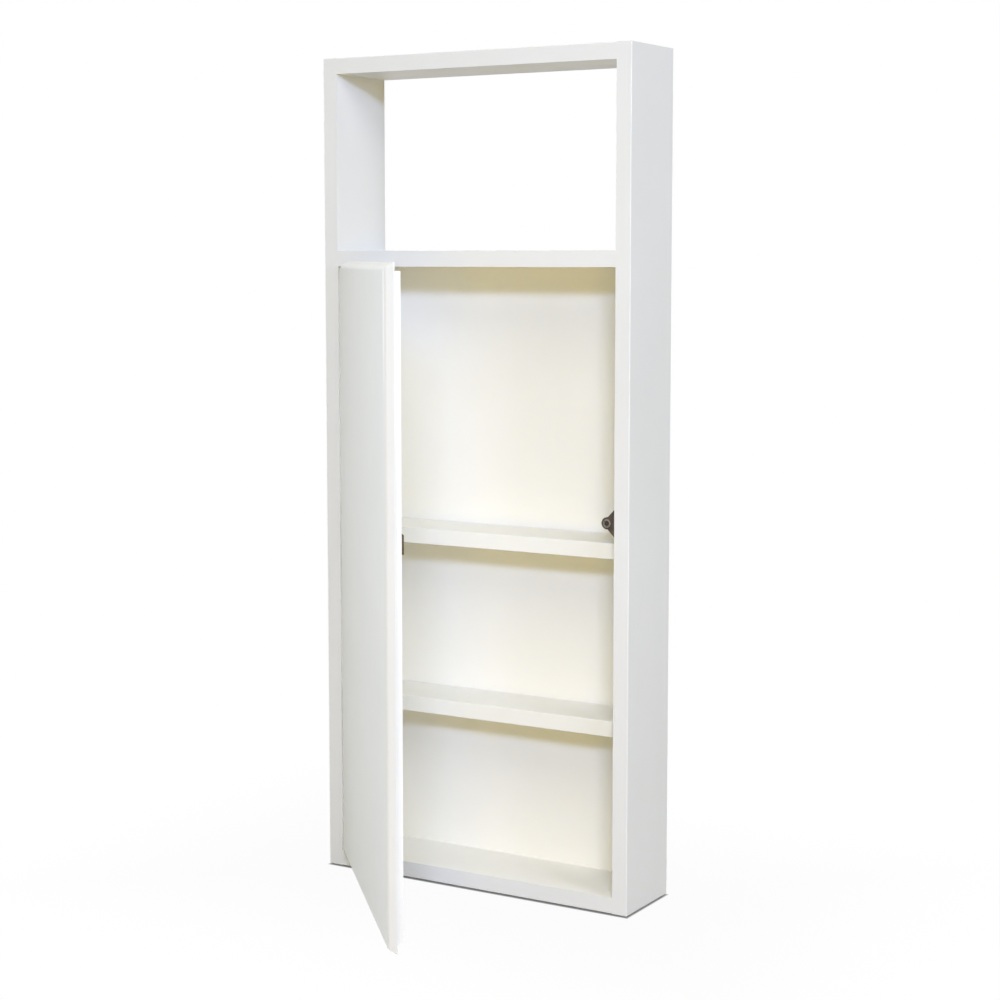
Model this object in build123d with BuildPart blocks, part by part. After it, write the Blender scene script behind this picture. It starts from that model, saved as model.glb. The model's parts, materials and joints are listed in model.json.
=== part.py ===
"""Slim wall cabinet with an open niche above a closed compartment with a lipped door.

Millimetres. +Z is up, the front faces -Y and the wall is the plane y = 0. The origin is the
centre of the four wall screw holes, on the wall. The door stands open at its rest angle.
"""
import os
from math import radians, tan

from build123d import *

# Cabinet body
cabinet_width = 356.0
cabinet_height = 846.0
cabinet_depth = 88.0
panel_thickness = 16.0
door_opening_height = 618.0
edge_round = 0.8

# Back panel, let into rabbets in the sides, divider and bottom
back_thickness = 8.0
back_rabbet = 8.0
back_fit = 0.2
back_screw_count = 4
back_screw_end_margin = 40.0

# Wall screw holes through the back panel
wall_hole_radius = 2.5
wall_hole_side_margin = 14.0
wall_hole_end_margin = 30.0

# Dowels between the cross panels and the sides
dowel_radius = 4.0
dowel_length = 30.0
dowel_in_side = 10.0
dowel_clearance = 0.1
dowel_end_gap = 0.5
dowel_front_margin = 18.0
dowel_rear_margin = 24.0
dowel_chamfer = 0.8

# Shelves, measured to their upper faces from the bottom panel's upper face
shelf_thickness = 16.0
shelf_setback = 16.0
shelf_end_gap = 0.5
shelf_back_gap = 0.5
upper_shelf_height = 349.5
lower_shelf_height = 172.5

# Shelf pins and the spare holes above and below each of them
pin_radius = 2.5
pin_in_side = 9.0
pin_under_shelf = 9.0
pin_clearance = 0.05
pin_end_gap = 0.5
pin_chamfer = 0.5
pin_front_margin = 22.0
pin_rear_margin = 12.0
pin_pitch = 32.0

# Door: a bevelled outer plate whose lip laps the frame, and a thinner slab inside the opening
lip_thickness = 9.4
slab_thickness = 6.6
lip_overlap = 5.2
slab_clearance = 2.8
hinge_edge_gap = 1.2
frame_gap = 0.3
bevel_width = 4.7
bevel_depth = 8.4
door_edge_round = 5.0
rest_angle = 47.7

# Knife hinges
leaf_thickness = 2.0
leaf_end_radius = 3.2
hinge_from_opening_edge = 13.5
hinge_before_front = 2.0
cabinet_leaf_length = 46.0
door_leaf_length = 48.0
door_leaf_width = 5.4
door_leaf_edge_margin = 0.6
leaf_fit = 0.1
hinge_pin_radius = 1.6
hinge_pin_depth = 8.0
hinge_pin_seat = 0.02
hinge_running_clearance = 0.05
hinge_bore_clearance = 0.4
washer_thickness = 0.7
washer_radius = 3.2
lip_notch_clearance = 1.8

# Countersunk screws
countersink_angle = 90.0
screw_head_radius = 2.6
screw_shank_radius = 1.3
screw_length = 12.0
screw_point = 3.0
recess_reach = 1.2
recess_width = 0.7
recess_depth = 0.8
screw_fit = 0.05
cabinet_leaf_screw_margin = 6.0
cabinet_leaf_screw_spacing = 24.0
door_leaf_screw_margin = 6.0
door_leaf_screw_spacing = 18.0
small_head_radius = 2.2
small_shank_radius = 1.1

# Magnetic catch on the right side, and its strike on the door
catch_height_above_shelf = 20.3
catch_reach = 13.0
catch_tip_radius = 6.0
catch_neck_half_height = 5.2
catch_base_half_height = 19.0
catch_depth = 13.0
catch_foot_length = 12.0
catch_foot_half_height = 13.0
catch_foot_thickness = 2.6
catch_screw_half_spacing = 8.5
catch_front_gap = 0.3
catch_edge_round = 0.8
cup_radius = 4.2
cup_wall = 0.9
cup_depth = 9.0
cup_fit = 0.05
magnet_radius = 2.6
strike_width = 15.0
strike_height = 18.0
strike_thickness = 2.4
strike_corner_radius = 2.0

# Planes and levels that the pieces share
half_width = cabinet_width / 2
inner_half = half_width - panel_thickness
front_y = -cabinet_depth
back_face_y = -back_thickness
opening_half_height = door_opening_height / 2
floor_z = -opening_half_height
bottom_z = floor_z - panel_thickness
divider_z = floor_z + door_opening_height
top_z = bottom_z + cabinet_height
dowel_rows = (front_y + dowel_front_margin, -dowel_rear_margin)
panel_levels = {
    "bottom": bottom_z + panel_thickness / 2,
    "divider": divider_z + panel_thickness / 2,
    "top": top_z - panel_thickness / 2,
}
wall_hole_x = inner_half - wall_hole_side_margin
wall_hole_z = opening_half_height - wall_hole_end_margin
back_screw_x = inner_half + back_rabbet / 2
back_screw_reach = opening_half_height - back_screw_end_margin
shelf_front_y = front_y + shelf_setback
shelf_back_y = back_face_y - shelf_back_gap
shelf_tops = {"upper": floor_z + upper_shelf_height, "lower": floor_z + lower_shelf_height}
pin_rows = (shelf_front_y + pin_front_margin, shelf_back_y - pin_rear_margin)

# Door and hinge places, as they are with the door closed
hinge_x = -inner_half + hinge_from_opening_edge
hinge_y = front_y - hinge_before_front
door_hinge_edge_x = -inner_half + hinge_edge_gap
lip_free_x = inner_half + lip_overlap
slab_free_x = inner_half - slab_clearance
lip_back_y = front_y - frame_gap
lip_front_y = lip_back_y - lip_thickness
slab_back_y = lip_back_y + slab_thickness
slab_bottom_z = floor_z + slab_clearance
slab_top_z = divider_z - slab_clearance
lip_bottom_z = floor_z - lip_overlap
lip_top_z = divider_z + lip_overlap
lip_notch_x = hinge_x + leaf_end_radius + lip_notch_clearance
leaf_back_y = slab_back_y - door_leaf_edge_margin
leaf_start_x = door_hinge_edge_x + door_leaf_edge_margin
strike_y = slab_back_y + strike_thickness
catch_x = inner_half - catch_reach
catch_y = strike_y + catch_front_gap
catch_z = shelf_tops["upper"] + catch_height_above_shelf
hinge_axis = Axis((hinge_x, hinge_y, 0), (0, 0, 1))


def box_between(low, high, mode=Mode.ADD):
    """Box between two opposite corners."""
    size = [b - a for a, b in zip(low, high)]
    middle = [(a + b) / 2 for a, b in zip(low, high)]
    with Locations(tuple(middle)):
        Box(*size, mode=mode)


def cross_holes(places, radius, depth, wall_x, outward):
    """Blind round holes along X, from the face at wall_x towards the outward sign."""
    centres = [(wall_x + outward * depth / 2, y, z) for y, z in places]
    with Locations(*centres):
        Cylinder(radius, depth, rotation=(0, 90, 0), mode=Mode.SUBTRACT)


def keep(piece, name):
    """Label a finished piece and write it to its own file."""
    piece.label = name
    export_step(piece, f"parts/{name}.step")


def opened(piece):
    """Turn a piece of the door from closed to its rest angle."""
    return piece.rotate(hinge_axis, -rest_angle)


def peg(radius, length, chamfer_length):
    """Round peg along X with chamfered ends, centred on the origin."""
    with BuildPart() as round_peg:
        Cylinder(radius, length, rotation=(0, 90, 0))
        chamfer(round_peg.edges().filter_by(GeomType.CIRCLE), chamfer_length)
    return round_peg.part


def wood_screw(head_radius, shank_radius, length):
    """Countersunk screw with a cross recess, its head in the XY plane and its point at -Z."""
    head_depth = (head_radius - shank_radius) / tan(radians(countersink_angle / 2))
    with BuildPart() as screw:
        with BuildSketch(Plane.XZ):
            with BuildLine():
                Polyline(
                    (0, 0),
                    (head_radius, 0),
                    (shank_radius, -head_depth),
                    (shank_radius, screw_point - length),
                    (0, -length),
                    close=True,
                )
            make_face()
        revolve(axis=Axis.Z)
        with BuildSketch(Plane.XY):
            for turn in (0, 90):
                Rectangle(2 * recess_reach, recess_width, rotation=turn)
        extrude(amount=-recess_depth, mode=Mode.SUBTRACT)
    return screw.part


def screw_group(planes, head_radius, shank_radius, length):
    """One screw on each plane, its head flush with the plane."""
    with BuildPart() as group:
        with Locations(*planes):
            add(wood_screw(head_radius, shank_radius, length))
    return group.part


def screw_holes(planes, head_radius, shank_radius, length):
    """Countersunk holes that take the screws of screw_group."""
    with Locations(*planes):
        CounterSinkHole(
            shank_radius + screw_fit, head_radius + screw_fit, length + screw_fit, countersink_angle
        )


def facing(points, normal):
    """Planes at the points, all with the given normal."""
    return [Plane(origin=point, z_dir=normal) for point in points]


def shelf_pin_places(height):
    """Places of the pins under a shelf, as (y, z)."""
    pin_z = height - shelf_thickness - pin_radius
    return [(y, pin_z) for y in pin_rows]


# Screw places
back_screw_heights = [
    -back_screw_reach + 2 * back_screw_reach * i / (back_screw_count - 1) for i in range(back_screw_count)
]
back_screw_planes = facing(
    [(side * back_screw_x, 0, z) for side in (-1, 1) for z in back_screw_heights], (0, 1, 0)
)
cabinet_leaf_screw_rows = [
    front_y + cabinet_leaf_screw_margin + cabinet_leaf_screw_spacing * i for i in (0, 1)
]
door_leaf_screw_rows = [
    lip_notch_x + door_leaf_screw_margin + door_leaf_screw_spacing * i for i in (0, 1)
]
door_leaf_middle_y = leaf_back_y - door_leaf_width / 2
catch_foot_face_x = inner_half - catch_foot_thickness
catch_screw_y = catch_y + catch_depth + catch_foot_length / 2
catch_screw_heights = [catch_z + way * catch_screw_half_spacing for way in (-1, 1)]
catch_screw_planes = facing(
    [(catch_foot_face_x, catch_screw_y, z) for z in catch_screw_heights], (-1, 0, 0)
)
strike_screw_plane = facing([(catch_x, strike_y, catch_z)], (0, 1, 0))


def side_panel(side):
    """Upright side with its back rabbet, dowel holes and shelf pin holes."""
    wall_x = side * inner_half
    pin_holes = []
    for height in shelf_tops.values():
        for y, z in shelf_pin_places(height):
            pin_holes += [(y, z + step * pin_pitch) for step in (-1, 0, 1)]
    dowel_holes = [(y, z) for y in dowel_rows for z in panel_levels.values()]
    with BuildPart() as panel:
        box_between(
            (min(wall_x, side * half_width), front_y, bottom_z),
            (max(wall_x, side * half_width), 0, top_z),
        )
        outer_edges = panel.faces().sort_by(Axis.X)[-1 if side > 0 else 0].edges()
        fillet(outer_edges.filter_by(Axis.Z).sort_by(Axis.Y)[0], edge_round)
        rabbet_x = side * (inner_half + back_rabbet)
        box_between(
            (min(wall_x, rabbet_x), back_face_y, floor_z - back_rabbet),
            (max(wall_x, rabbet_x), 0, divider_z + back_rabbet),
            Mode.SUBTRACT,
        )
        cross_holes(dowel_holes, dowel_radius + dowel_clearance, dowel_in_side + dowel_end_gap, wall_x, side)
        cross_holes(pin_holes, pin_radius + pin_clearance, pin_in_side + pin_end_gap, wall_x, side)
        back_screw_places = [(side * back_screw_x, back_face_y, z) for z in back_screw_heights]
        with Locations(*facing(back_screw_places, (0, 1, 0))):
            Hole(small_shank_radius + screw_fit, screw_length - back_thickness + screw_fit)
    return panel


def cross_panel(level):
    """Panel between the sides with dowel holes in both ends."""
    low_z = level - panel_thickness / 2
    depth = dowel_length - dowel_in_side + dowel_end_gap
    with BuildPart() as panel:
        box_between((-inner_half, front_y, low_z), (inner_half, 0, low_z + panel_thickness))
        for side in (-1, 1):
            places = [(y, level) for y in dowel_rows]
            cross_holes(places, dowel_radius + dowel_clearance, depth, side * inner_half, -side)
    return panel


def dowel_group(level):
    """The four dowels of one cross panel."""
    middle = inner_half + dowel_in_side - dowel_length / 2
    with BuildPart() as dowels:
        with Locations(*[(side * middle, y, level) for side in (-1, 1) for y in dowel_rows]):
            add(peg(dowel_radius, dowel_length, dowel_chamfer))
    return dowels.part


def shelf(height):
    """Loose shelf with softened front edges."""
    reach = inner_half - shelf_end_gap
    with BuildPart() as board:
        box_between((-reach, shelf_front_y, height - shelf_thickness), (reach, shelf_back_y, height))
        fillet(board.faces().sort_by(Axis.Y)[0].edges().filter_by(Axis.X), edge_round)
    return board.part


def shelf_pins(height):
    """The four pins that carry one shelf."""
    length = pin_in_side + pin_under_shelf
    middle = inner_half + pin_in_side - length / 2
    with BuildPart() as pins:
        with Locations(*[(side * middle, y, z) for side in (-1, 1) for y, z in shelf_pin_places(height)]):
            add(peg(pin_radius, length, pin_chamfer))
    return pins.part


def cabinet_leaf_outline(growth):
    """Straight hinge leaf, in plan, from the pivot back along the side panel."""
    width = 2 * (leaf_end_radius + growth)
    with Locations((hinge_x, hinge_y + cabinet_leaf_length / 2 - leaf_end_radius)):
        SlotOverall(cabinet_leaf_length + 2 * growth, width, rotation=90)


def door_leaf_outline(growth):
    """Offset hinge leaf, in plan: a round eye at the pivot and a bar along the door's edge."""
    bar_length = door_leaf_length + 2 * growth
    bar_width = door_leaf_width + 2 * growth
    with Locations((leaf_start_x + door_leaf_length / 2, door_leaf_middle_y)):
        Rectangle(bar_length, bar_width)
    with Locations((hinge_x, hinge_y)):
        Circle(leaf_end_radius + growth)
    with Locations((hinge_x, (hinge_y + door_leaf_middle_y) / 2)):
        Rectangle(2 * (leaf_end_radius + growth), door_leaf_middle_y - hinge_y)


def door():
    """Lipped slab door, closed, with mortises for the hinge leaves."""
    with BuildPart() as slab:
        box_between(
            (door_hinge_edge_x, lip_front_y, lip_bottom_z),
            (lip_free_x, lip_back_y, lip_top_z),
        )
        outer_face = slab.faces().sort_by(Axis.Y)[0]
        chamfer(outer_face.edges(), bevel_width, bevel_depth, reference=outer_face)
        fillet(slab.faces().sort_by(Axis.Y)[0].edges(), door_edge_round)
        box_between(
            (door_hinge_edge_x, lip_back_y, slab_bottom_z),
            (slab_free_x, slab_back_y, slab_top_z),
        )
        for low_z, high_z in ((lip_bottom_z, slab_bottom_z), (slab_top_z, lip_top_z)):
            box_between(
                (door_hinge_edge_x, lip_front_y, low_z), (lip_notch_x, lip_back_y, high_z), Mode.SUBTRACT
            )
        for seat_z, inward in ((slab_top_z, -1), (slab_bottom_z, 1)):
            with BuildSketch(Plane.XY.offset(seat_z)):
                door_leaf_outline(leaf_fit)
            extrude(amount=inward * leaf_thickness, mode=Mode.SUBTRACT)
            floor = seat_z + inward * leaf_thickness
            with BuildSketch(Plane.XY.offset(floor)):
                with Locations((hinge_x, hinge_y)):
                    Circle(hinge_pin_radius + hinge_bore_clearance)
            extrude(amount=inward * hinge_pin_depth, mode=Mode.SUBTRACT)
            screws = facing([(x, door_leaf_middle_y, floor) for x in door_leaf_screw_rows], (0, 0, -inward))
            with Locations(*screws):
                Hole(small_shank_radius + screw_fit, screw_length - leaf_thickness + screw_fit)
        with Locations(*facing([(catch_x, slab_back_y, catch_z)], (0, 1, 0))):
            Hole(small_shank_radius + screw_fit, screw_length - strike_thickness + screw_fit)
    return slab.part


def knife_hinge(name, frame_z, inward):
    """One hinge: frame_z is the panel face it is screwed to, inward the way into the opening."""
    seat_z = frame_z + inward * slab_clearance
    leaf_face_z = frame_z + inward * leaf_thickness
    cabinet_screws = facing([(hinge_x, y, leaf_face_z) for y in cabinet_leaf_screw_rows], (0, 0, inward))
    with BuildPart() as cabinet_leaf:
        with BuildSketch(Plane.XY.offset(frame_z)):
            cabinet_leaf_outline(0)
            with Locations((hinge_x, hinge_y)):
                Circle(hinge_pin_radius + hinge_pin_seat, mode=Mode.SUBTRACT)
        extrude(amount=inward * leaf_thickness)
        screw_holes(cabinet_screws, screw_head_radius, screw_shank_radius, screw_length)
    keep(cabinet_leaf.part, f"{name}_cabinet_leaf")

    pin_length = slab_clearance + leaf_thickness + hinge_pin_depth - pin_end_gap
    with BuildPart() as hinge_pin:
        with BuildSketch(Plane.XY.offset(frame_z)):
            with Locations((hinge_x, hinge_y)):
                Circle(hinge_pin_radius)
        extrude(amount=inward * pin_length)
        free_end = hinge_pin.edges().sort_by(Axis.Z)[0 if inward < 0 else -1]
        chamfer(free_end, pin_chamfer)
    keep(hinge_pin.part, f"{name}_hinge_pin")

    with BuildPart() as washer:
        with BuildSketch(Plane.XY.offset(leaf_face_z)):
            with Locations((hinge_x, hinge_y)):
                Circle(washer_radius)
                Circle(hinge_pin_radius + hinge_running_clearance, mode=Mode.SUBTRACT)
        extrude(amount=inward * washer_thickness)
    keep(washer.part, f"{name}_hinge_washer")
    keep(
        screw_group(cabinet_screws, screw_head_radius, screw_shank_radius, screw_length),
        f"{name}_cabinet_leaf_screws",
    )

    door_screws = facing([(x, door_leaf_middle_y, seat_z) for x in door_leaf_screw_rows], (0, 0, -inward))
    with BuildPart() as door_leaf:
        with BuildSketch(Plane.XY.offset(seat_z)):
            door_leaf_outline(0)
            with Locations((hinge_x, hinge_y)):
                Circle(hinge_pin_radius + hinge_running_clearance, mode=Mode.SUBTRACT)
        extrude(amount=inward * leaf_thickness)
        screw_holes(door_screws, small_head_radius, small_shank_radius, screw_length)
    keep(opened(door_leaf.part), f"{name}_door_leaf")
    keep(
        opened(screw_group(door_screws, small_head_radius, small_shank_radius, screw_length)),
        f"{name}_door_leaf_screws",
    )


os.makedirs("parts", exist_ok=True)

# Sides: the right one also takes the catch screws
left_side = side_panel(-1)
keep(left_side.part, "left_side")
with BuildPart() as right_side:
    add(side_panel(1).part)
    with Locations(*facing([(inner_half, catch_screw_y, z) for z in catch_screw_heights], (-1, 0, 0))):
        Hole(small_shank_radius + screw_fit, screw_length - catch_foot_thickness + screw_fit)
keep(right_side.part, "right_side")

# Cross panels: divider and bottom are rabbeted for the back and drilled for the hinges
with BuildPart() as top_panel:
    add(cross_panel(panel_levels["top"]).part)
    fillet(top_panel.faces().sort_by(Axis.Y)[0].edges().sort_by(Axis.Z)[-1], edge_round)
keep(top_panel.part, "top_panel")

with BuildPart() as divider_panel:
    add(cross_panel(panel_levels["divider"]).part)
    box_between(
        (-inner_half, back_face_y, divider_z), (inner_half, 0, divider_z + back_rabbet), Mode.SUBTRACT
    )
    with Locations(*facing([(hinge_x, y, divider_z) for y in cabinet_leaf_screw_rows], (0, 0, -1))):
        Hole(screw_shank_radius + screw_fit, screw_length - leaf_thickness + screw_fit)
keep(divider_panel.part, "divider_panel")

with BuildPart() as bottom_panel:
    add(cross_panel(panel_levels["bottom"]).part)
    box_between((-inner_half, back_face_y, floor_z - back_rabbet), (inner_half, 0, floor_z), Mode.SUBTRACT)
    with Locations(*facing([(hinge_x, y, floor_z) for y in cabinet_leaf_screw_rows], (0, 0, 1))):
        Hole(screw_shank_radius + screw_fit, screw_length - leaf_thickness + screw_fit)
    fillet(bottom_panel.faces().sort_by(Axis.Y)[0].edges().sort_by(Axis.Z)[0], edge_round)
keep(bottom_panel.part, "bottom_panel")

# Back panel, drilled for the wall screws and countersunk from behind for its own
back_reach_x = inner_half + back_rabbet - back_fit
back_reach_z = opening_half_height + back_rabbet - back_fit
wall_holes = [(x * wall_hole_x, 0, z * wall_hole_z) for x in (-1, 1) for z in (-1, 1)]
with BuildPart() as back_panel:
    box_between((-back_reach_x, back_face_y, -back_reach_z), (back_reach_x, 0, back_reach_z))
    with Locations(*facing(wall_holes, (0, 1, 0))):
        Hole(wall_hole_radius, back_thickness)
    screw_holes(back_screw_planes, small_head_radius, small_shank_radius, screw_length)
keep(back_panel.part, "back_panel")
keep(
    screw_group(back_screw_planes, small_head_radius, small_shank_radius, screw_length), "back_panel_screws"
)

for level_name, level in panel_levels.items():
    keep(dowel_group(level), f"{level_name}_dowels")

for shelf_name, shelf_top in shelf_tops.items():
    keep(shelf(shelf_top), f"{shelf_name}_shelf")
    keep(shelf_pins(shelf_top), f"{shelf_name}_shelf_pins")

keep(opened(door()), "door_panel")
knife_hinge("upper", divider_z, -1)
knife_hinge("lower", floor_z, 1)

# Catch housing: a round nose on flared flanks, with a screw foot behind it on the side panel
with BuildPart() as catch_housing:
    with BuildSketch(Plane.XZ.offset(-catch_y)):
        with BuildLine():
            Polyline(
                (catch_x, catch_z - catch_neck_half_height),
                (inner_half, catch_z - catch_base_half_height),
                (inner_half, catch_z + catch_base_half_height),
                (catch_x, catch_z + catch_neck_half_height),
                close=True,
            )
        make_face()
        with Locations((catch_x, catch_z)):
            Circle(catch_tip_radius)
    extrude(amount=-catch_depth)
    nose_edges = catch_housing.faces().sort_by(Axis.Y)[0].edges()
    fillet(nose_edges, catch_edge_round)
    box_between(
        (catch_foot_face_x, catch_y + catch_depth, catch_z - catch_foot_half_height),
        (inner_half, catch_y + catch_depth + catch_foot_length, catch_z + catch_foot_half_height),
    )
    screw_holes(catch_screw_planes, small_head_radius, small_shank_radius, screw_length)
    with Locations(Plane((catch_x, catch_y, catch_z), z_dir=(0, -1, 0))):
        Hole(cup_radius + cup_fit, cup_depth)
keep(catch_housing.part, "catch_housing")

with BuildPart() as catch_cup:
    with BuildSketch(Plane.XZ.offset(-catch_y)):
        with Locations((catch_x, catch_z)):
            Circle(cup_radius)
    extrude(amount=-cup_depth)
    with Locations(Plane((catch_x, catch_y, catch_z), z_dir=(0, -1, 0))):
        Hole(magnet_radius + cup_fit, cup_depth - cup_wall)
keep(catch_cup.part, "catch_cup")

with BuildPart() as catch_magnet:
    with BuildSketch(Plane.XZ.offset(-catch_y)):
        with Locations((catch_x, catch_z)):
            Circle(magnet_radius)
    extrude(amount=-(cup_depth - cup_wall))
keep(catch_magnet.part, "catch_magnet")
keep(
    screw_group(catch_screw_planes, small_head_radius, small_shank_radius, screw_length), "catch_screws"
)

# Strike on the door, opposite the magnet when the door is closed
with BuildPart() as strike_plate:
    with BuildSketch(Plane.XZ.offset(-slab_back_y)):
        with Locations((catch_x, catch_z)):
            RectangleRounded(strike_width, strike_height, strike_corner_radius)
    extrude(amount=-strike_thickness)
    screw_holes(strike_screw_plane, small_head_radius, small_shank_radius, screw_length)
keep(opened(strike_plate.part), "strike_plate")
strike_screw = screw_group(strike_screw_plane, small_head_radius, small_shank_radius, screw_length)
keep(opened(strike_screw), "strike_screw")
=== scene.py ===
"""Finishes, studio and camera for the slim wall cabinet with a lipped door.

Metres, in the CAD frame: +Z is up, the front faces -Y and the wall is the plane y = 0.
"""
import json
import math

import bpy
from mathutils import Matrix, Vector


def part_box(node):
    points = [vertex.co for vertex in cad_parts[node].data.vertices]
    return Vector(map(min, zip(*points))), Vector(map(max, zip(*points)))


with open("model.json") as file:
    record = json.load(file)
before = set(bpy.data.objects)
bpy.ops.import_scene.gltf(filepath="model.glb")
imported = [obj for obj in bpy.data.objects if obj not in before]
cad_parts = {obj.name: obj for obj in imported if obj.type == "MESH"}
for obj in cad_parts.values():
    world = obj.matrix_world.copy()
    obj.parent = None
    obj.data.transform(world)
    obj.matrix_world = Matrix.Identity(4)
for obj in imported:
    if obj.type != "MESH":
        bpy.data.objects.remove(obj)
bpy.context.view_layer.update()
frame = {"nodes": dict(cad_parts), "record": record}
nodes_by_name = frame["nodes"]

# Levels of the cabinet, read from its own panels
divider_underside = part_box("divider_panel")[0].z
inner_half_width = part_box("right_side")[0].x
cabinet_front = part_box("left_side")[0].y
cabinet_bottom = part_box("left_side")[0].z
compartment_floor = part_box("bottom_panel")[1].z
cabinet_middle = (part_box("left_side")[0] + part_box("right_side")[1]) / 2

# The middle of a noise, where most of its values lie
noise_low = 0.3
noise_high = 0.7

# A mix node's sockets for colours, which follow those for numbers and vectors
mix_first_colour = 6
mix_second_colour = 7
mix_result_colour = 2


# Small helpers for shader trees
def start_material(name):
    """New material with a principled shader, as (material, tree, shader)."""
    material = bpy.data.materials.new(name)
    material.use_nodes = True
    tree = material.node_tree
    return material, tree, tree.nodes["Principled BSDF"]


def object_place(tree, scale=(1, 1, 1)):
    """Object coordinates stretched by scale, as a socket."""
    place = tree.nodes.new("ShaderNodeTexCoord")
    mapping = tree.nodes.new("ShaderNodeMapping")
    mapping.inputs["Scale"].default_value = scale
    tree.links.new(place.outputs["Object"], mapping.inputs["Vector"])
    return mapping.outputs["Vector"]


def noise(tree, place, scale, detail):
    """Noise between 0 and 1 at the given scale, as a socket."""
    texture = tree.nodes.new("ShaderNodeTexNoise")
    texture.inputs["Scale"].default_value = scale
    texture.inputs["Detail"].default_value = detail
    tree.links.new(place, texture.inputs["Vector"])
    return texture.outputs["Fac"]


def spread(tree, value, low, high):
    """The middle of a noise spread out between low and high, as a socket."""
    ranged = tree.nodes.new("ShaderNodeMapRange")
    ranged.inputs["From Min"].default_value = noise_low
    ranged.inputs["From Max"].default_value = noise_high
    ranged.inputs["To Min"].default_value = low
    ranged.inputs["To Max"].default_value = high
    tree.links.new(value, ranged.inputs["Value"])
    return ranged.outputs["Result"]


def feed(tree, value, socket):
    """Give a socket its value: another socket, or a plain number or colour."""
    if isinstance(value, bpy.types.NodeSocket):
        tree.links.new(value, socket)
    else:
        socket.default_value = value


def calculate(tree, operation, first, second):
    """One step of arithmetic on sockets or plain numbers, as a socket."""
    step = tree.nodes.new("ShaderNodeMath")
    step.operation = operation
    feed(tree, first, step.inputs[0])
    feed(tree, second, step.inputs[1])
    return step.outputs["Value"]


def opaque(colour):
    """A plain colour with full alpha, as shader sockets take it."""
    return (*colour, 1.0)


def blend_colours(tree, factor, first, second):
    """Mix of two colours, each an opaque colour or a socket, as a socket."""
    mix = tree.nodes.new("ShaderNodeMix")
    mix.data_type = "RGBA"
    tree.links.new(factor, mix.inputs["Factor"])
    feed(tree, first, mix.inputs[mix_first_colour])
    feed(tree, second, mix.inputs[mix_second_colour])
    return mix.outputs[mix_result_colour]


def colour_by(tree, shader, pattern, low, high):
    """Colour the shader from low to high by a pattern socket."""
    colour = blend_colours(tree, pattern, opaque(low), opaque(high))
    tree.links.new(colour, shader.inputs["Base Color"])


def roughen_by(tree, shader, pattern, roughness, change):
    """Let a pattern socket vary the shader's roughness by change to either side."""
    gloss = spread(tree, pattern, roughness - change, roughness + change)
    tree.links.new(gloss, shader.inputs["Roughness"])


def add_bump(tree, shader, height, strength, distance):
    """Raise the shader's normal by a height socket."""
    bump = tree.nodes.new("ShaderNodeBump")
    bump.inputs["Strength"].default_value = strength
    bump.inputs["Distance"].default_value = distance
    tree.links.new(height, bump.inputs["Height"])
    tree.links.new(bump.outputs["Normal"], shader.inputs["Normal"])


# Paint colours, where the sprayed coat is thick and where it is thin
white = (0.86, 0.857, 0.838)
white_thin = (0.835, 0.832, 0.81)
ivory = (0.935, 0.915, 0.84)
ivory_thin = (0.915, 0.893, 0.805)
paint_skin = 0.0004
paint_specular = 0.25


def compartment_mask(tree):
    """1 on the faces inside the closed compartment and 0 on the cabinet's outside, as a socket."""
    place = tree.nodes.new("ShaderNodeSeparateXYZ")
    tree.links.new(object_place(tree), place.inputs["Vector"])
    across = calculate(tree, "ABSOLUTE", place.outputs["X"], 0.0)
    between_sides = calculate(tree, "LESS_THAN", across, inner_half_width + paint_skin)
    below_divider = calculate(tree, "LESS_THAN", place.outputs["Z"], divider_underside + paint_skin)
    above_bottom = calculate(tree, "GREATER_THAN", place.outputs["Z"], compartment_floor - paint_skin)
    behind_front = calculate(tree, "GREATER_THAN", place.outputs["Y"], cabinet_front + paint_skin)
    height = calculate(tree, "MULTIPLY", below_divider, above_bottom)
    plan = calculate(tree, "MULTIPLY", between_sides, behind_front)
    return calculate(tree, "MULTIPLY", height, plan)


def sprayed_paint(name, thick, thin, roughness, inside=None):
    """Satin paint with the faint ripple and mottle of a sprayed coat on fibreboard.

    inside is the (thick, thin) pair of the warmer colour within the closed compartment.
    """
    material, tree, shader = start_material(name)
    place = object_place(tree)
    coat = spread(tree, noise(tree, place, scale=7.0, detail=4.0), low=0.0, high=1.0)
    colour = blend_colours(tree, coat, opaque(thin), opaque(thick))
    if inside:
        inside_thick, inside_thin = inside
        warm = blend_colours(tree, coat, opaque(inside_thin), opaque(inside_thick))
        colour = blend_colours(tree, compartment_mask(tree), colour, warm)
    tree.links.new(colour, shader.inputs["Base Color"])
    sheen = noise(tree, place, scale=45.0, detail=3.0)
    roughen_by(tree, shader, sheen, roughness, change=0.05)
    shader.inputs["Specular IOR Level"].default_value = paint_specular
    ripple = noise(tree, place, scale=650.0, detail=2.0)
    add_bump(tree, shader, ripple, strength=0.12, distance=0.00012)
    return material


def brushed_metal(name, bright, dark, roughness, grain):
    """Metal with fine scratches drawn out along one axis; grain is the stretch of each axis."""
    material, tree, shader = start_material(name)
    scratches = noise(tree, object_place(tree, grain), scale=60.0, detail=6.0)
    colour_by(tree, shader, scratches, dark, bright)
    roughen_by(tree, shader, scratches, roughness, change=0.08)
    shader.inputs["Metallic"].default_value = 1.0
    add_bump(tree, shader, scratches, strength=0.15, distance=0.00005)
    return material


def moulded_plastic(name, colour, worn, roughness):
    """Moulded plastic with a fine spark-eroded grain and a little rub wear."""
    material, tree, shader = start_material(name)
    place = object_place(tree)
    rub = spread(tree, noise(tree, place, scale=120.0, detail=4.0), low=0.0, high=1.0)
    colour_by(tree, shader, rub, colour, worn)
    sheen = noise(tree, place, scale=300.0, detail=2.0)
    roughen_by(tree, shader, sheen, roughness, change=0.06)
    grain = noise(tree, place, scale=2200.0, detail=2.0)
    add_bump(tree, shader, grain, strength=0.2, distance=0.00008)
    return material


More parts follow.
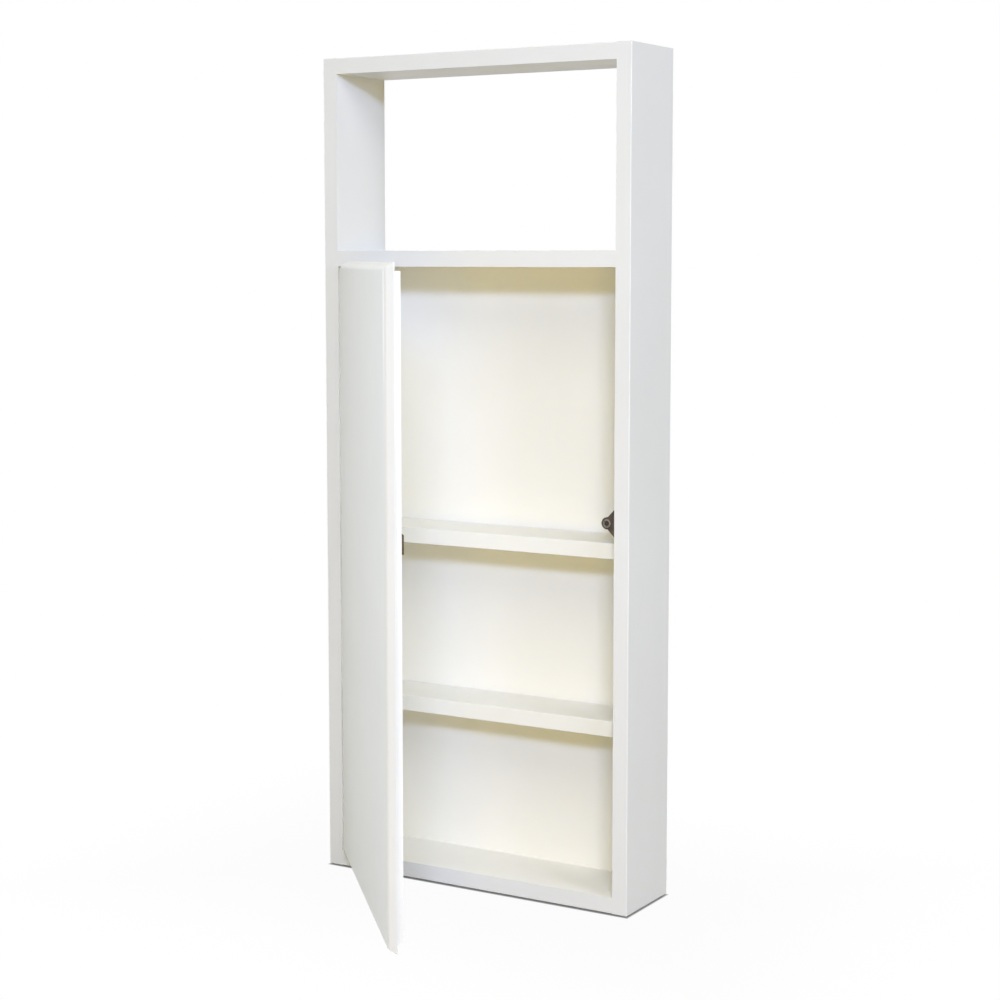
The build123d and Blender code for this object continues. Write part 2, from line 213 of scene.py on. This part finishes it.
def raw_beech(name, early_wood, late_wood, roughness):
    """Unfinished beech with its grain along the dowel."""
    material, tree, shader = start_material(name)
    along_dowel = (6.0, 90.0, 90.0)
    fibres = noise(tree, object_place(tree, along_dowel), scale=8.0, detail=6.0)
    colour_by(tree, shader, fibres, late_wood, early_wood)
    shader.inputs["Roughness"].default_value = roughness
    add_bump(tree, shader, fibres, strength=0.3, distance=0.0001)
    return material


def sintered_ferrite(name, ground, pitted, roughness):
    """Dark ceramic magnet with a ground, slightly pitted face."""
    material, tree, shader = start_material(name)
    pits = noise(tree, object_place(tree), scale=1500.0, detail=4.0)
    colour_by(tree, shader, pits, pitted, ground)
    shader.inputs["Metallic"].default_value = 0.2
    shader.inputs["Roughness"].default_value = roughness
    add_bump(tree, shader, pits, strength=0.25, distance=0.00006)
    return material


# Finishes by the record's material slots
finishes = {
    "white_paint": sprayed_paint(
        "white_paint", white, white_thin, roughness=0.42, inside=(ivory, ivory_thin)
    ),
    "door_paint": sprayed_paint("door_paint", white, white_thin, roughness=0.40),
    "back_paint": sprayed_paint("back_paint", ivory, ivory_thin, roughness=0.48),
    "dowel_wood": raw_beech(
        "raw_beech", early_wood=(0.80, 0.64, 0.44), late_wood=(0.58, 0.40, 0.24), roughness=0.72
    ),
    "catch_brown": moulded_plastic(
        "catch_brown", colour=(0.055, 0.040, 0.028), worn=(0.12, 0.09, 0.065), roughness=0.38
    ),
    "strike_bronze": brushed_metal(
        "strike_bronze",
        bright=(0.12, 0.095, 0.07),
        dark=(0.045, 0.035, 0.025),
        roughness=0.46,
        grain=(1.0, 1.0, 12.0),
    ),
    "cup_bronze": brushed_metal(
        "cup_bronze",
        bright=(0.52, 0.47, 0.40),
        dark=(0.30, 0.26, 0.21),
        roughness=0.34,
        grain=(3.0, 9.0, 3.0),
    ),
    "magnet_ferrite": sintered_ferrite(
        "sintered_ferrite", ground=(0.06, 0.058, 0.055), pitted=(0.018, 0.017, 0.016), roughness=0.5
    ),
    "plated_steel": brushed_metal(
        "plated_steel",
        bright=(0.78, 0.78, 0.76),
        dark=(0.60, 0.60, 0.60),
        roughness=0.30,
        grain=(1.0, 14.0, 14.0),
    ),
    "screw_steel": brushed_metal(
        "screw_steel",
        bright=(0.72, 0.71, 0.68),
        dark=(0.52, 0.51, 0.49),
        roughness=0.36,
        grain=(9.0, 9.0, 3.0),
    ),
    "washer_nylon": moulded_plastic(
        "washer_nylon", colour=(0.84, 0.83, 0.78), worn=(0.74, 0.73, 0.68), roughness=0.5
    ),
    "hinge_brass": brushed_metal(
        "hinge_brass",
        bright=(0.80, 0.62, 0.32),
        dark=(0.60, 0.44, 0.20),
        roughness=0.34,
        grain=(14.0, 1.0, 14.0),
    ),
}

for subpart in frame["record"]["subparts"]:
    for slot in nodes_by_name[subpart["node"]].material_slots:
        slot.material = finishes[subpart["material_slot"]]


# Floor that fades into the white surround, with a tight dark line under the cabinet and a faint shadow
# around it: painted shade made by showing the floor's dark matt colour near the cabinet, partly darkened
# further by its real shadow
floor_size = 30.0
floor_gap = 0.0015
# The floor's matt colour, which is also the dark of its painted line and painted shadow
floor_colour = (0.24, 0.23, 0.21)
floor_roughness = 0.9
# Reach and share of the painted contact line and of the faint painted shadow around the cabinet
painted_line_reach = 0.003
painted_line_share = 0.9
painted_shadow_reach = 0.35
painted_shadow_share = 0.04


def seen_directly(tree):
    """1 for rays that show the background itself, mirrored or through glass too, as a socket."""
    path = tree.nodes.new("ShaderNodeLightPath")
    mirrored = calculate(tree, "MAXIMUM", path.outputs["Is Glossy Ray"], path.outputs["Is Transmission Ray"])
    return calculate(tree, "MAXIMUM", path.outputs["Is Camera Ray"], mirrored)


def footprint_distance(tree):
    """Distance on the floor from the cabinet's outline, as a socket."""
    half_size = (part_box("right_side")[1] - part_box("left_side")[0]) / 2
    place = tree.nodes.new("ShaderNodeSeparateXYZ")
    tree.links.new(object_place(tree), place.inputs["Vector"])
    across = calculate(tree, "ABSOLUTE", place.outputs["X"], 0.0)
    along = calculate(tree, "ABSOLUTE", place.outputs["Y"], 0.0)
    beside = calculate(tree, "SUBTRACT", across, half_size.x)
    before = calculate(tree, "SUBTRACT", along, half_size.y)
    return calculate(tree, "MAXIMUM", calculate(tree, "MAXIMUM", beside, before), 0.0)


def painted_shade_share(tree, distance, reach, share):
    """Painted shade: a share of the dark matt floor shown near the cabinet, darkened further by the real
    shadow, which fades to none at the given reach, as a socket.
    """
    fade = tree.nodes.new("ShaderNodeMapRange")
    fade.interpolation_type = "SMOOTHSTEP"
    fade.inputs["From Max"].default_value = reach
    fade.inputs["To Min"].default_value = share
    fade.inputs["To Max"].default_value = 0.0
    tree.links.new(distance, fade.inputs["Value"])
    return fade.outputs["Result"]


def floor_with_painted_shade():
    """Pale floor: matt for the light that it bounces, nearly pure white to look at, with a painted dark line
    and a faint painted shadow near the cabinet.
    """
    material, tree, shader = start_material("floor_with_painted_shade")
    shader.inputs["Base Color"].default_value = opaque(floor_colour)
    shader.inputs["Roughness"].default_value = floor_roughness
    glow = tree.nodes.new("ShaderNodeEmission")
    distance = footprint_distance(tree)
    # Painted dark line and faint painted shadow around the cabinet, which the real shadow darkens further
    painted_line = painted_shade_share(tree, distance, painted_line_reach, painted_line_share)
    painted_shadow = painted_shade_share(tree, distance, painted_shadow_reach, painted_shadow_share)
    plain = calculate(tree, "SUBTRACT", 1.0, calculate(tree, "MAXIMUM", painted_line, painted_shadow))
    mix = tree.nodes.new("ShaderNodeMixShader")
    tree.links.new(calculate(tree, "MULTIPLY", plain, seen_directly(tree)), mix.inputs[0])
    tree.links.new(shader.outputs[0], mix.inputs[1])
    tree.links.new(glow.outputs[0], mix.inputs[2])
    tree.links.new(mix.outputs[0], tree.nodes["Material Output"].inputs["Surface"])
    return material


bpy.ops.object.select_all(action="DESELECT")
floor_place = (cabinet_middle.x, cabinet_middle.y, cabinet_bottom - floor_gap)
bpy.ops.mesh.primitive_plane_add(size=floor_size, location=floor_place)
floor = bpy.context.object
floor.name = "studio_floor"
floor.data.materials.append(floor_with_painted_shade())

# Surround: white to look at, a dim warm light on the cabinet
surround_light = (0.24, 0.205, 0.02)
surround_look = (1.0, 1.0, 1.0)
world = bpy.data.worlds.new("studio_surround")
bpy.context.scene.world = world
world.use_nodes = True
world_tree = world.node_tree
surround = blend_colours(
    world_tree, seen_directly(world_tree), opaque(surround_light), opaque(surround_look)
)
world_tree.links.new(surround, world_tree.nodes["Background"].inputs["Color"])


# Lamps: level is the brightness that a lamp gives a white surface facing it
def add_lamp(name, azimuth, elevation, distance, width, height, level, colour, aim=cabinet_middle):
    """Soft oblong lamp around the cabinet's middle; azimuth 0 is straight in front, 90 to the right."""
    turn = math.radians(azimuth)
    lift = math.radians(elevation)
    out = Vector((math.sin(turn) * math.cos(lift), -math.cos(turn) * math.cos(lift), math.sin(lift)))
    lamp = bpy.data.lights.new(name, "AREA")
    lamp.shape = "RECTANGLE"
    lamp.size = width
    lamp.size_y = height
    lamp.energy = level * (math.pi * distance) ** 2
    lamp.color = colour
    holder = bpy.data.objects.new(name, lamp)
    bpy.context.scene.collection.objects.link(holder)
    holder.location = cabinet_middle + out * distance
    holder.rotation_euler = (holder.location - aim).to_track_quat("Z", "Y").to_euler()
    return lamp


def fit_grid(lamp, half_angle):
    """Grid on a lamp, so that its light falls off away from its axis and keeps its level there."""
    half = math.radians(half_angle)
    lamp.spread = 2.0 * half
    lamp.energy *= 1.0 - half / math.tan(half)


# Cool key from the right, and warm light from high and low that softens its shadows
add_lamp(
    "key_lamp", azimuth=32.0, elevation=19.0, distance=4.2, width=1.1, height=0.33,
    level=0.625, colour=(0.48, 0.595, 1.0),
)
add_lamp(
    "high_fill", azimuth=30.0, elevation=45.0, distance=5.0, width=2.2, height=2.2,
    level=0.22, colour=(1.0, 0.93, 0.80),
)
add_lamp(
    "low_warm_fill", azimuth=30.0, elevation=-4.0, distance=2.4, width=1.1, height=0.5,
    level=0.195, colour=(1.0, 0.74, 0.06),
)
add_lamp(
    "side_fill", azimuth=70.0, elevation=16.0, distance=3.0, width=0.8, height=1.0,
    level=0.345, colour=(0.68, 0.775, 1.0),
)

# Door lamp aimed past the door, so that the door darkens towards its hinges
before_door = Vector((0.14, -1.32, 0.03))
door_fill = add_lamp(
    "door_fill", azimuth=-84.0, elevation=8.0, distance=3.0, width=0.5, height=0.8,
    level=1.95, colour=(0.745, 0.825, 1.0), aim=before_door,
)
fit_grid(door_fill, half_angle=28.0)

# Plain light on the back, the left side and the top
add_lamp(
    "back_fill", azimuth=198.0, elevation=11.0, distance=4.0, width=1.2, height=0.4,
    level=0.66, colour=(0.92, 0.91, 1.0),
)
add_lamp(
    "top_fill", azimuth=0.0, elevation=90.0, distance=3.0, width=0.5, height=0.5,
    level=0.25, colour=(0.92, 0.94, 1.0),
)

# Camera at the photograph's viewing angle
camera_place = (1.0887, -1.8518, 0.3180)
camera_pitch = -5.84
camera_yaw = 30.89
camera_lens = 74.72
camera_shift = -0.03
camera_data = bpy.data.cameras.new("photo_camera")
camera_data.lens = camera_lens
camera_data.shift_y = camera_shift
camera = bpy.data.objects.new("photo_camera", camera_data)
bpy.context.scene.collection.objects.link(camera)
camera.location = camera_place
camera.rotation_euler = (math.radians(90.0 + camera_pitch), 0.0, math.radians(camera_yaw))
bpy.context.scene.camera = camera
bpy.context.scene.view_settings.view_transform = "Standard"
